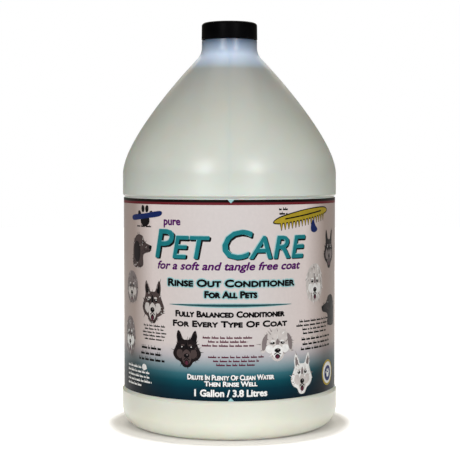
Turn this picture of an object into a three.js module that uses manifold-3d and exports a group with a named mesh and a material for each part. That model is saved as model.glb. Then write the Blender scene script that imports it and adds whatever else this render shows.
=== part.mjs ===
// One-gallon round jug with a moulded-in handle, a short 38 mm screw cap, a wraparound label
// and its liquid. Millimetres, +Z up, origin at the centre of the base. The middle of the
// label faces -Y and the handle is at the back, towards +Y.
import * as THREE from "three";
import { mergeVertices } from "three/addons/utils/BufferGeometryUtils.js";
import Module from "manifold-3d";

const wasm = await Module();
wasm.setup();

// ---- Driving dimensions ----

const segments = 48; // around every turned piece
const clearance = 0.3; // between neighbouring pieces

// Jug shell
const wall = 1;
const bodyRadius = 76.7; // upper bumper ring, the widest part under the shoulder
const footRadius = 64; // outer edge of the flat ring that the jug stands on
const footWidth = 4;
const pushUp = 4; // rise of the base inside the foot ring
const footFillet = 14; // height of the rounded edge above the foot ring
const lowerBumperHeight = 12;
const lowerBumperProud = 0.6; // beyond the upper bumper
const panelDepth = 1.2; // label panel below the upper bumper
const panelHeight = 136.4;
const bumperRamp = 1.6; // height of the slope between panel and bumper
const upperBumperHeight = 14.5;
const shoulderHeight = 82.6;
const shoulderTopRadius = 23.1;
const shoulderTopSlope = 43.4; // degrees from vertical
const shoulderLowPull = 19.6; // how far the bumper's direction carries into the shoulder
const shoulderHighPull = 34.6; // how far the top slope carries back down the shoulder

// Neck, a 38-400 finish
const collarRadius = 19.9;
const collarHeight = 4.9;
const neckRadius = 17.4;
const boreRadius = 15.2;
const finishHeight = 10;
const threadDepth = 1.3;
const threadPitch = 25.4 / 6;
const threadRootWidth = 2.2;
const threadCrestWidth = 1.0;
const threadDrop = 2.9; // from the top of the neck to the middle of the thread's upper end
const threadFoot = 1.3; // plain neck between the thread's lower end and the collar

// Handle: a hollow grip left behind a scooped recess
const gripWidth = 28;
const gripDepth = 20;
const gripCorner = 8.5;
const gripInset = 0.4; // grip's outer face below the shoulder's outline
const gripReach = 0.76; // share of the shoulder's curve that the grip runs under
const scoopRise = 22.9; // middle of the recess above the foot of the shoulder
const scoopInset = 12.7; // middle of the recess inside the widest part
const scoopHalf = { x: 62, y: 42, z: 31 };

// Cap and liner
const capLift = 0.7; // gap between the collar and the closed cap
const capSkirt = 1.1;
const capTop = 1.3;
const capEdge = 1.8; // rounding of the top edge
const capDome = 0.4;
const capThreadFoot = 0.35; // plain skirt below the cap's thread
const capThreadRootWidth = 1.9;
const capThreadCrestWidth = 0.8;
const linerThickness = 1.0;

// Label and contents
const labelThickness = 0.3;
const labelMargin = 0.7; // panel left bare above and below the label
const seamGap = 1;
const fillBelowCollar = 14.6; // liquid level below the foot of the collar

// ---- Places worked out from the dimensions ----

const footInner = footRadius - footWidth;
const lowerBumperRadius = bodyRadius + lowerBumperProud;
const panelRadius = bodyRadius - panelDepth;
const lowerBumperTop = footFillet + lowerBumperHeight;
const panelBottom = lowerBumperTop + bumperRamp;
const panelTop = panelBottom + panelHeight;
const upperBumperBottom = panelTop + bumperRamp;
const shoulderBottom = upperBumperBottom + upperBumperHeight;
const shoulderTop = shoulderBottom + shoulderHeight;
const slope = THREE.MathUtils.degToRad(shoulderTopSlope);
const neckFlare = (shoulderTopRadius - collarRadius) / (1 - Math.cos(slope));
const collarBottom = shoulderTop + neckFlare * Math.sin(slope);
const collarTop = collarBottom + collarHeight;
const neckTop = collarTop + finishHeight;
const threadRadius = neckRadius + threadDepth;
const threadRun = finishHeight - threadDrop - threadRootWidth / 2 - threadFoot;
const threadTurns = threadRun / threadPitch;
const capInnerRadius = threadRadius + clearance;
const capRadius = capInnerRadius + capSkirt;
const capCrestRadius = neckRadius + clearance;
const linerBottom = neckTop + clearance;
const linerTop = linerBottom + linerThickness;
const capCeiling = linerTop + clearance;
const capCrown = capCeiling + capTop;
const capBottom = collarTop + capLift;
const capThreadTop = neckTop - threadDrop - threadPitch / 2;
const capThreadRun = capThreadTop - capBottom - capThreadRootWidth / 2 - capThreadFoot;
const capTurns = capThreadRun / threadPitch;
const scoopCentre = { y: bodyRadius - scoopInset, z: shoulderBottom + scoopRise };
const fillLevel = collarBottom - fillBelowCollar;

// ---- Closed solids and booleans ----

function solid(geometry) {
  const bare = geometry.index ? geometry.toNonIndexed() : geometry;
  for (const name of Object.keys(bare.attributes)) {
    if (name !== "position") bare.deleteAttribute(name);
  }
  const merged = mergeVertices(bare, 1e-4);
  const vertProperties = Float32Array.from(merged.attributes.position.array);
  const triVerts = Uint32Array.from(merged.index.array);
  return new wasm.Manifold(new wasm.Mesh({ numProp: 3, vertProperties, triVerts }));
}

function geometryOf(manifold) {
  const mesh = manifold.getMesh();
  const geometry = new THREE.BufferGeometry();
  geometry.setAttribute("position", new THREE.BufferAttribute(mesh.vertProperties, 3));
  geometry.setIndex(new THREE.BufferAttribute(mesh.triVerts, 1));
  return geometry;
}

function turned(points) {
  const geometry = new THREE.LatheGeometry(points, segments);
  geometry.rotateX(Math.PI / 2);
  return solid(geometry);
}

function disc(radius, bottom, top) {
  const corners = [[0, bottom], [radius, bottom], [radius, top], [0, top]];
  return turned(corners.map(([r, z]) => new THREE.Vector2(r, z)));
}

// ---- Outline of the jug, from the axis under the base to the foot of the collar ----

function shoulderCurve() {
  const low = new THREE.Vector2(bodyRadius, shoulderBottom);
  const high = new THREE.Vector2(shoulderTopRadius, shoulderTop);
  const lowPull = new THREE.Vector2(bodyRadius, shoulderBottom + shoulderLowPull);
  const highPull = new THREE.Vector2(
    shoulderTopRadius + shoulderHighPull * Math.sin(slope),
    shoulderTop - shoulderHighPull * Math.cos(slope),
  );
  return new THREE.CubicBezierCurve(low, lowPull, highPull, high);
}

function shellOutline() {
  const filletReach = lowerBumperRadius - footRadius;
  const fillet = new THREE.EllipseCurve(
    footRadius, footFillet, filletReach, footFillet, -Math.PI / 2, 0, false,
  );
  const flareCentre = collarRadius + neckFlare;
  const flare = new THREE.EllipseCurve(
    flareCentre, collarBottom, neckFlare, neckFlare, Math.PI + slope, Math.PI, true,
  );
  return [
    new THREE.Vector2(0, pushUp),
    new THREE.Vector2(footInner - 2 * pushUp, pushUp),
    new THREE.Vector2(footInner, 0),
    ...fillet.getPoints(6),
    new THREE.Vector2(lowerBumperRadius, lowerBumperTop),
    new THREE.Vector2(panelRadius, panelBottom),
    new THREE.Vector2(panelRadius, panelTop),
    new THREE.Vector2(bodyRadius, upperBumperBottom),
    ...shoulderCurve().getPoints(12),
    ...flare.getPoints(3).slice(1),
  ];
}

function inward(points, distance) {
  // Moves an outline towards the inside of the jug by the same distance everywhere.
  return points.map((point, i) => {
    const before = points[Math.max(i - 1, 0)];
    const after = points[Math.min(i + 1, points.length - 1)];
    const first = point.clone().sub(before).normalize();
    const second = after.clone().sub(point).normalize();
    const along = first.add(second).normalize();
    const spread = i > 0 && i < points.length - 1 ? along.dot(second) : 1;
    const reach = distance / spread;
    const radius = point.x === 0 ? 0 : point.x - along.y * reach;
    return new THREE.Vector2(radius, point.y + along.x * reach);
  });
}

// ---- Handle ----

function gripPath(inset) {
  // Runs down the back of the jug at a fixed depth under the shoulder's outline.
  const curve = shoulderCurve();
  const low = scoopCentre.z - scoopHalf.z - gripDepth;
  const points = [new THREE.Vector3(0, bodyRadius - inset, low)];
  points.push(new THREE.Vector3(0, bodyRadius - inset, (low + shoulderBottom) / 2));
  for (let i = 0; i <= 8; i += 1) {
    const t = (i / 8) * gripReach;
    const place = curve.getPoint(t);
    const along = curve.getTangent(t);
    points.push(new THREE.Vector3(0, place.x - along.y * inset, place.y + along.x * inset));
  }
  return new THREE.CatmullRomCurve3(points);
}

function gripSection(shrink) {
  const halfWidth = gripWidth / 2 - shrink;
  const halfDepth = gripDepth / 2 - shrink;
  const corner = gripCorner - shrink;
  const section = new THREE.Shape();
  section.absarc(halfWidth - corner, halfDepth - corner, corner, 0, Math.PI / 2);
  section.absarc(corner - halfWidth, halfDepth - corner, corner, Math.PI / 2, Math.PI);
  section.absarc(corner - halfWidth, corner - halfDepth, corner, Math.PI, 1.5 * Math.PI);
  section.absarc(halfWidth - corner, corner - halfDepth, corner, 1.5 * Math.PI, 2 * Math.PI);
  section.closePath();
  return section;
}

function grip(shrink) {
  const extrudePath = gripPath(gripInset + gripDepth / 2);
  const options = { steps: 14, curveSegments: 3, bevelEnabled: false, extrudePath };
  return solid(new THREE.ExtrudeGeometry(gripSection(shrink), options));
}

function scoop(grow) {
  const geometry = new THREE.SphereGeometry(1, 28, 18);
  geometry.scale(scoopHalf.x + grow, scoopHalf.y + grow, scoopHalf.z + grow);
  geometry.translate(0, scoopCentre.y, scoopCentre.z);
  return solid(geometry);
}

function withHandle(revolved, depth) {
  // The same recess and grip for the outside, the hollow and the liquid, each a depth inside
  // the surface of the shell.
  const inside = grip(depth).intersect(revolved);
  return revolved.subtract(scoop(depth)).add(inside);
}

// ---- Threads ----

function helixThread({ rootRadius, crestRadius, rootWidth, crestWidth, turns, start, middle }) {
  // A trapezium carried up a right-hand helix. It sinks 0.4 mm into the wall it stands on.
  const sink = Math.sign(rootRadius - crestRadius) * 0.4;
  const corners = [
    [rootRadius + sink, -rootWidth / 2],
    [crestRadius, -crestWidth / 2],
    [crestRadius, crestWidth / 2],
    [rootRadius + sink, rootWidth / 2],
  ];
  if (crestRadius < rootRadius) corners.reverse();
  const steps = Math.round(turns * 30);
  const positions = [];
  for (let i = 0; i <= steps; i += 1) {
    const turn = (i / steps - 1) * turns;
    const angle = start + turn * 2 * Math.PI;
    for (const [radius, rise] of corners) {
      const z = middle + turn * threadPitch + rise;
      positions.push(radius * Math.cos(angle), radius * Math.sin(angle), z);
    }
  }
  const index = [0, 1, 2, 0, 2, 3];
  for (let i = 0; i < steps; i += 1) {
    for (let j = 0; j < 4; j += 1) {
      const a = 4 * i + j;
      const b = 4 * i + ((j + 1) % 4);
      index.push(a, a + 4, b, b, a + 4, b + 4);
    }
  }
  const last = 4 * steps;
  index.push(last, last + 2, last + 1, last, last + 3, last + 2);
  const geometry = new THREE.BufferGeometry();
  geometry.setAttribute("position", new THREE.Float32BufferAttribute(positions, 3));
  geometry.setIndex(index);
  return solid(geometry);
}

// ---- Pieces ----

function jugBody() {
  const outline = shellOutline();
  const outside = turned([
    ...outline,
    new THREE.Vector2(collarRadius, collarTop),
    new THREE.Vector2(neckRadius, collarTop),
    new THREE.Vector2(neckRadius, neckTop),
    new THREE.Vector2(0, neckTop),
  ]);
  const thread = helixThread({
    rootRadius: neckRadius,
    crestRadius: threadRadius,
    rootWidth: threadRootWidth,
    crestWidth: threadCrestWidth,
    turns: threadTurns,
    start: 0,
    middle: neckTop - threadDrop,
  });
  const bore = disc(boreRadius, collarBottom, neckTop + 1);
  const hollow = withHandle(turned(hollowOutline(wall)), wall);
  return withHandle(outside, 0).add(thread).subtract(hollow).subtract(bore);
}

function hollowOutline(depth) {
  // Ends at the foot of the collar, where the bore takes over.
  const points = inward(shellOutline(), depth);
  const top = points.at(-1);
  points[points.length - 1] = new THREE.Vector2(Math.min(top.x, boreRadius), collarBottom + 0.5);
  points.push(new THREE.Vector2(0, collarBottom + 0.5));
  return points;
}

function liquidFill() {
  const depth = wall + clearance;
  const filled = withHandle(turned(hollowOutline(depth)), depth);
  return filled.intersect(disc(2 * bodyRadius, 0, fillLevel));
}

function wrapLabel() {
  const inner = panelRadius + clearance;
  const outer = inner + labelThickness;
  const bottom = panelBottom + labelMargin;
  const top = panelTop - labelMargin;
  const ring = disc(outer, bottom, top).subtract(disc(inner, bottom - 1, top + 1));
  const seam = new THREE.BoxGeometry(seamGap, 2 * outer, 2 * panelHeight);
  seam.translate(0, outer, (bottom + top) / 2);
  return ring.subtract(solid(seam));
}

function capOutline() {
  const edge = new THREE.EllipseCurve(
    capRadius - capEdge, capCrown - capEdge, capEdge, capEdge, 0, Math.PI / 2, false,
  );
  return [
    new THREE.Vector2(0, capBottom),
    new THREE.Vector2(capRadius, capBottom),
    ...edge.getPoints(4),
    new THREE.Vector2(0, capCrown + capDome),
  ];
}

function screwCap() {
  const room = disc(capInnerRadius, capBottom - 1, capCeiling);
  const thread = helixThread({
    rootRadius: capInnerRadius,
    crestRadius: capCrestRadius,
    rootWidth: capThreadRootWidth,
    crestWidth: capThreadCrestWidth,
    turns: capTurns,
    start: 0,
    middle: capThreadTop,
  });
  return turned(capOutline()).subtract(room).add(thread);
}

function capLiner() {
  return disc(capInnerRadius - clearance, linerBottom, linerTop);
}

// ---- The jug ----

const gloss = { metalness: 0 };
const materials = {
  hdpe: new THREE.MeshStandardMaterial({ ...gloss, color: 0xd9dcd2, roughness: 0.4 }),
  cap: new THREE.MeshStandardMaterial({ ...gloss, color: 0x141414, roughness: 0.35 }),
  foam: new THREE.MeshStandardMaterial({ ...gloss, color: 0xf2f0ea, roughness: 0.8 }),
  label: new THREE.MeshStandardMaterial({ ...gloss, color: 0xe9e2ea, roughness: 0.45 }),
  liquid: new THREE.MeshStandardMaterial({ ...gloss, color: 0xe6e2d2, roughness: 0.15 }),
};

function named(name, manifold, material) {
  const mesh = new THREE.Mesh(geometryOf(manifold), material);
  mesh.name = name;
  return mesh;
}

const jug = new THREE.Group();
jug.add(named("jug_body", jugBody(), materials.hdpe));
jug.add(named("screw_cap", screwCap(), materials.cap));
jug.add(named("cap_liner", capLiner(), materials.foam));
jug.add(named("wrap_label", wrapLabel(), materials.label));
jug.add(named("liquid_fill", liquidFill(), materials.liquid));

export default jug;
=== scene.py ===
"""The looks of a gallon jug of pet conditioner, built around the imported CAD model.

Lengths are metres unless a name says mm. The middle of the label faces -Y, the handle +Y.
"""

import math
import random

import bmesh
import bpy
import numpy as np
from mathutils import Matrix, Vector


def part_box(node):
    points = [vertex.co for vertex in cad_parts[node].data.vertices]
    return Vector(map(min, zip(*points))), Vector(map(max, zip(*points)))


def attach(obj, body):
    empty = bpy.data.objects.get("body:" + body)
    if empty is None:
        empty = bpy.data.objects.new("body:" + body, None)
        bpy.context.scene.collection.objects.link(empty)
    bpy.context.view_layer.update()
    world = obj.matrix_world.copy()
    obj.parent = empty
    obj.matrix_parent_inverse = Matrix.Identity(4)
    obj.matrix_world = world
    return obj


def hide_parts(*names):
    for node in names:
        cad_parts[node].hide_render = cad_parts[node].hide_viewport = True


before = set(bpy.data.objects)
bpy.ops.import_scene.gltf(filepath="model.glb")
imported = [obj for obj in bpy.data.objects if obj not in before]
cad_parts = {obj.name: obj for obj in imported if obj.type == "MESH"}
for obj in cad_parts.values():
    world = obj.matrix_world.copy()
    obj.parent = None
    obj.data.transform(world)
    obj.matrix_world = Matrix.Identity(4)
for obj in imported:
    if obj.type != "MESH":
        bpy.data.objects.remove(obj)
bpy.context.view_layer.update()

MM = 0.001

# ---- Places read from the frame ----

JUG_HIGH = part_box("jug_body")[1]
CAP_LOW, CAP_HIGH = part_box("screw_cap")
LABEL_LOW, LABEL_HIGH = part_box("wrap_label")
LINER_LOW, LINER_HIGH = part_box("cap_liner")

LOWER_BUMPER_RADIUS = JUG_HIGH[0]
NECK_TOP = JUG_HIGH[2]
FILL_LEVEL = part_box("liquid_fill")[1][2]
CAP_BOTTOM = CAP_LOW[2]
CAP_CROWN = CAP_HIGH[2]
CAP_RADIUS = CAP_HIGH[0]
LABEL_RADIUS = LABEL_HIGH[0]
LABEL_BOTTOM = LABEL_LOW[2]
LABEL_TOP = LABEL_HIGH[2]
LABEL_HEIGHT = (LABEL_TOP - LABEL_BOTTOM) / MM

# ---- Sizes that repeat the CAD model's ----

WALL = 1 * MM
GAP = 0.3 * MM
BODY_RADIUS = LOWER_BUMPER_RADIUS - 0.6 * MM
PANEL_RADIUS = BODY_RADIUS - 1.2 * MM
LABEL_MARGIN = 0.7 * MM
LABEL_FILM = 0.3 * MM
LABEL_SEAM = 1 * MM
PANEL_BOTTOM = LABEL_BOTTOM - LABEL_MARGIN
PANEL_TOP = LABEL_TOP + LABEL_MARGIN
BUMPER_RAMP = 1.6 * MM
FOOT_RADIUS = 64 * MM
FOOT_WIDTH = 4 * MM
FOOT_FILLET = 14 * MM
PUSH_UP = 4 * MM
BUMPER_BOTTOM = PANEL_TOP + BUMPER_RAMP
SHOULDER_BOTTOM = BUMPER_BOTTOM + 14.5 * MM
SHOULDER_TOP = SHOULDER_BOTTOM + 82.6 * MM
SHOULDER_TOP_RADIUS = 23.1 * MM
SHOULDER_SLOPE = math.radians(43.4)
SHOULDER_LOW_PULL = 19.6 * MM
SHOULDER_HIGH_PULL = 34.6 * MM
COLLAR_RADIUS = 19.9 * MM
COLLAR_TOP = NECK_TOP - 10 * MM
NECK_RADIUS = 17.4 * MM
BORE_RADIUS = 15.2 * MM
NECK_FLARE = (SHOULDER_TOP_RADIUS - COLLAR_RADIUS) / (1 - math.cos(SHOULDER_SLOPE))
COLLAR_BOTTOM = SHOULDER_TOP + NECK_FLARE * math.sin(SHOULDER_SLOPE)

GRIP_WIDTH = 28 * MM
GRIP_DEPTH = 20 * MM
GRIP_CORNER = 8.5 * MM
GRIP_INSET = 0.4 * MM
GRIP_REACH = 0.76
SCOOP_CENTRE = np.array([0, BODY_RADIUS - 12.7 * MM, SHOULDER_BOTTOM + 22.9 * MM])
SCOOP_HALF = np.array([62, 42, 31]) * MM

THREAD_PITCH = 25.4 / 6 * MM
THREAD_DEPTH = 1.3 * MM
THREAD_DROP = 2.9 * MM
THREAD_ROOT = 2.2 * MM
THREAD_CREST = 1.0 * MM
THREAD_FOOT = 1.3 * MM
CAP_SKIRT = 1.1 * MM
CAP_DOME = 0.4 * MM
CAP_THREAD_ROOT = 1.9 * MM
CAP_THREAD_CREST = 0.8 * MM
CAP_THREAD_FOOT = 0.35 * MM

# ---- Sizes of the fine model ----

ROUND = 192  # segments around the large turned pieces
SHARP_ANGLE = math.radians(32)  # edges sharper than this stay sharp
ON_AXIS = 1e-9  # a radius below this is a point on the axis
BLEND = 5 * MM  # moulded rounding where the recess, grip and shoulder meet
CAP_EDGE = (2.6 * MM, 2.2 * MM)  # rounding of the cap's top edge, across and up
NET_PITCH = 1.15 * MM  # grid that the shoulder is meshed on
LIGHT_AIM = 0.17  # height that the lights point at
FLOOR_RADIUS = 3
FLOOR_GLOW = 0.95
DOME_RADIUS = 3.4  # white backdrop all round
# The table's glow fades out towards its middle: a painted shadow round the jug's foot.
TABLE_RADIUS = 96 * MM  # the floor near the jug, which glows only at its rim
TABLE_RIM = 15 * MM
CAMERA_PLACE = (0.4 * MM, -968 * MM, 187.1 * MM)
CAMERA_TILT = math.radians(1.64)  # looking down


# ==== Mesh helpers ====

def placed(name, data):
    """A new object in the scene that holds data."""
    obj = bpy.data.objects.new(name, data)
    bpy.context.scene.collection.objects.link(obj)
    return obj


def mesh_object(name, vertices, faces):
    """A mesh object from plain lists."""
    mesh = bpy.data.meshes.new(name)
    mesh.from_pydata([tuple(v) for v in vertices], [], [tuple(f) for f in faces])
    mesh.validate()
    return placed(name, mesh)


def boolean(obj, other, operation):
    """Joins or cuts obj by other, and deletes other."""
    modifier = obj.modifiers.new("boolean", "BOOLEAN")
    modifier.object = other
    modifier.operation = operation
    modifier.solver = "MANIFOLD"
    graph = bpy.context.evaluated_depsgraph_get()
    result = bpy.data.meshes.new_from_object(obj.evaluated_get(graph))
    obj.modifiers.clear()
    old = obj.data
    obj.data = result
    result.name = old.name + "_made"
    bpy.data.meshes.remove(old)
    bpy.data.objects.remove(other, do_unlink=True)
    return obj


def lathe(name, outline, segments=ROUND):
    """A closed solid from an outline (radius, height) that starts and ends on the axis,
    listed from the bottom of the axis outwards and up."""
    vertices, faces, rings = [], [], []
    for radius, height in outline:
        first = len(vertices)
        count = 1 if radius < ON_AXIS else segments
        rings.append([first + i % count for i in range(segments + 1)])
        for i in range(count):
            angle = 2 * math.pi * i / segments
            vertices.append((radius * math.cos(angle), radius * math.sin(angle), height))
    for low, high in zip(rings, rings[1:]):
        for i in range(segments):
            face = list(dict.fromkeys((low[i], low[i + 1], high[i + 1], high[i])))
            if len(face) > 2:
                faces.append(face)
    return mesh_object(name, vertices, faces)


def disc(name, radius, bottom, top, segments=96):
    """A plain round block."""
    return lathe(name, [(0, bottom), (radius, bottom), (radius, top), (0, top)], segments)


def skin(first, last, n):
    """Faces of a bar whose rings of n vertices run from vertex first to the ring at last."""
    faces = [tuple(range(first, first + n))]
    for ring in range(first, last, n):
        for j in range(n):
            a, b = ring + j, ring + (j + 1) % n
            faces.append((a, a + n, b + n, b))
    return faces + [tuple(reversed(range(last, last + n)))]


def arc(centre, radii, start, end, count):
    """Points on an ellipse's arc, angles in degrees."""
    angles = [math.radians(start + (end - start) * i / count) for i in range(count + 1)]
    return [(centre[0] + radii[0] * math.cos(a), centre[1] + radii[1] * math.sin(a))
            for a in angles]


def helix(name, root, crest, root_width, crest_width, run, top):
    """A right-hand thread whose section is a trapezium, sunk a little into its wall."""
    sink = math.copysign(0.4 * MM, root - crest)
    corners = [(root + sink, -root_width / 2), (crest, -crest_width / 2),
               (crest, crest_width / 2), (root + sink, root_width / 2)]
    if crest < root:
        corners.reverse()
    turns = run / THREAD_PITCH
    steps = max(8, round(96 * turns))
    vertices = []
    for i in range(steps + 1):
        turn = (i / steps - 1) * turns
        angle = 2 * math.pi * turn
        taper = min(1, 14 * i / steps, 14 * (1 - i / steps))
        for radius, rise in corners:
            reach = root + sink + (radius - root - sink) * (0.35 + 0.65 * taper)
            vertices.append((reach * math.cos(angle), reach * math.sin(angle),
                             top + turn * THREAD_PITCH + rise))
    return mesh_object(name, vertices, skin(0, 4 * steps, 4))


# ==== The jug's shape ====

def shoulder_point(t):
    """A point of the shoulder's curve and its direction, t from 0 at its foot to 1."""
    low = np.array([BODY_RADIUS, SHOULDER_BOTTOM])
    low_pull = low + (0, SHOULDER_LOW_PULL)
    high = np.array([SHOULDER_TOP_RADIUS, SHOULDER_TOP])
    high_pull = high + np.array([math.sin(SHOULDER_SLOPE), -math.cos(SHOULDER_SLOPE)]) \
        * SHOULDER_HIGH_PULL
    s = 1 - t
    place = s**3 * low + 3 * s * s * t * low_pull + 3 * s * t * t * high_pull + t**3 * high
    along = s * s * (low_pull - low) + 2 * s * t * (high_pull - low_pull) \
        + t * t * (high - high_pull)
    return place, along / np.linalg.norm(along)


def shoulder_outline():
    """(radius, height) from the foot of the upper bumper to the collar's top and beyond."""
    points = [(BODY_RADIUS, BUMPER_BOTTOM - 20 * MM)]
    points += [tuple(shoulder_point(i / 80)[0]) for i in range(81)]
    flare = arc((COLLAR_RADIUS + NECK_FLARE, COLLAR_BOTTOM), (NECK_FLARE, NECK_FLARE),
                180 + math.degrees(SHOULDER_SLOPE), 180, 16)
    return np.array(points + flare[1:] + [(COLLAR_RADIUS, NECK_TOP + 20 * MM)])


OUTLINE = shoulder_outline()
GRIP_LOW = SCOOP_CENTRE[2] - SCOOP_HALF[2] - GRIP_DEPTH


def grip_line():
    """(y, z) points along the middle of the grip."""
    inset = GRIP_INSET + GRIP_DEPTH / 2
    points = [(BODY_RADIUS - inset, z) for z in np.linspace(GRIP_LOW, SHOULDER_BOTTOM, 12)[:-1]]
    for i in range(41):
        place, along = shoulder_point(i / 40 * GRIP_REACH)
        points.append((place[0] - along[1] * inset, place[1] + along[0] * inset))
    return np.array(points)


GRIP_LINE = grip_line()


def smooth_max(a, b, blend):
    h = np.clip(blend - np.abs(a - b), 0, None) / blend
    return np.maximum(a, b) + h * h * blend / 4


def smooth_min(a, b, blend):
    return -smooth_max(-a, -b, blend)


def revolved(x, y, z):
    """About the distance outside the jug's turned outline, less than nothing inside."""
    radius = np.interp(z, OUTLINE[:, 1], OUTLINE[:, 0])
    slope = np.gradient(OUTLINE[:, 0], OUTLINE[:, 1])
    lean = np.interp(z, OUTLINE[:, 1], slope)
    return (np.hypot(x, y) - radius) / np.sqrt(1 + lean * lean)


def scooped(x, y, z):
    """About the distance outside the recess, an ellipsoid."""
    p = (np.stack([x, y, z], -1) - SCOOP_CENTRE) / SCOOP_HALF
    reach = np.linalg.norm(p, axis=-1)
    steep = np.linalg.norm(p / SCOOP_HALF, axis=-1)
    return reach * (reach - 1) / np.maximum(steep, 1e-9)


def gripped(x, y, z):
    """Distance outside the grip, a rounded bar along its line."""
    best = np.full(x.shape, np.inf)
    for (y0, z0), (y1, z1) in zip(GRIP_LINE[:-1], GRIP_LINE[1:]):
        along = np.array([y1 - y0, z1 - z0])
        length2 = along @ along
        t = np.clip(((y - y0) * along[0] + (z - z0) * along[1]) / length2, 0, 1)
        best = np.minimum(best, np.hypot(y - y0 - t * along[0], z - z0 - t * along[1]))
    across = np.abs(x) - (GRIP_WIDTH / 2 - GRIP_CORNER)
    deep = best - (GRIP_DEPTH / 2 - GRIP_CORNER)
    outside = np.hypot(np.maximum(across, 0), np.maximum(deep, 0))
    return outside + np.minimum(np.maximum(across, deep), 0) - GRIP_CORNER


def shoulder_field(x, y, z):
    """The jug's outside over the shoulder: less than nothing inside the plastic's outline."""
    turned = revolved(x, y, z)
    body = smooth_max(turned, -scooped(x, y, z), BLEND)
    return np.maximum(smooth_min(body, gripped(x, y, z), BLEND), turned)


def hollow_field(x, y, z):
    """The jug's inside: one wall in from the outside, narrowing to the neck's bore."""
    funnel = BORE_RADIUS + np.maximum(0, COLLAR_BOTTOM - 2.5 * MM - z) * 1.3
    bore = np.hypot(x, y) - funnel
    return np.maximum(shoulder_field(x, y, z) + WALL, bore)


def surface_net(field, low, high, pitch):
    """Meshes a field's zero surface: one point in each crossed cell, moved onto the surface,
    and one quad across each crossed edge. Above and below the box the field is cut flat."""
    axes = [np.arange(a, b + pitch, pitch) for a, b in zip(low, high)]
    X, Y, Z = np.meshgrid(*axes, indexing="ij")

    def value(x, y, z):
        return np.maximum(field(x, y, z), np.maximum(low[2] + pitch - z, z - high[2] + pitch))

    def beside(base, others, da, db):
        cell = base.copy()
        cell[:, others[0]] -= da
        cell[:, others[1]] -= db
        return cell

    grid = value(X, Y, Z)
    inside = grid < 0
    total = np.zeros([n - 1 for n in grid.shape] + [3])
    count = np.zeros([n - 1 for n in grid.shape])
    shape = np.array(grid.shape)
    edges = []
    for axis in range(3):
        step = np.eye(3, dtype=int)[axis]
        a = inside[: shape[0] - step[0], : shape[1] - step[1], : shape[2] - step[2]]
        b = inside[step[0]:, step[1]:, step[2]:]
        i, j, k = np.nonzero(a != b)
        base = np.stack([i, j, k], 1)
        fa = grid[i, j, k]
        fb = grid[i + step[0], j + step[1], k + step[2]]
        t = fa / (fa - fb)
        point = base + t[:, None] * step
        others = [n for n in range(3) if n != axis]
        for da, db in ((0, 0), (0, 1), (1, 0), (1, 1)):
            cell = beside(base, others, da, db)
            ok = (cell >= 0).all(1) & (cell < shape - 1).all(1)
            np.add.at(total, tuple(cell[ok].T), point[ok])
            np.add.at(count, tuple(cell[ok].T), 1)
        edges.append((axis, others, base, inside[i, j, k]))
    filled = count > 0
    number = np.full(count.shape, -1)
    number[filled] = np.arange(filled.sum())
    points = total[filled] / count[filled][:, None] * pitch + np.array([a[0] for a in axes])
    points = onto_surface(points, value, pitch)
    quads = []
    for axis, others, base, first_inside in edges:
        ok = (base[:, others] > 0).all(1)
        base, first_inside = base[ok], first_inside[ok]
        quad = np.stack([number[tuple(beside(base, others, da, db).T)]
                         for da, db in ((0, 0), (1, 0), (1, 1), (0, 1))], 1)
        flip = first_inside if axis != 1 else ~first_inside
        quad[flip] = quad[flip][:, ::-1]
        quads.append(quad)
    return points, np.concatenate(quads)[:, ::-1]


def onto_surface(points, value, pitch):
    """Slides each point down the field's slope to where the field is nothing."""
    h = 0.02 * MM
    start = points.copy()
    for _ in range(4):
        f = value(*points.T)
        slope = np.stack([(value(*(points + d).T) - value(*(points - d).T)) / (2 * h)
                          for d in np.eye(3) * h], 1)
        size2 = np.maximum((slope * slope).sum(1), 0.1)
        points = points - (f / size2)[:, None] * slope
        points = start + np.clip(points - start, -0.8 * pitch, 0.8 * pitch)
    return points


# ==== Materials ====

WHITE, BLACK = (1, 1, 1, 1), (0, 0, 0, 1)


def linear(red, green, blue):
    """A colour given as 0 to 255 on screen, as the renderer's linear values."""
    def channel(value):
        value /= 255
        return value / 12.92 if value <= 0.04045 else ((value + 0.055) / 1.055) ** 2.4
    return (channel(red), channel(green), channel(blue), 1)


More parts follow.
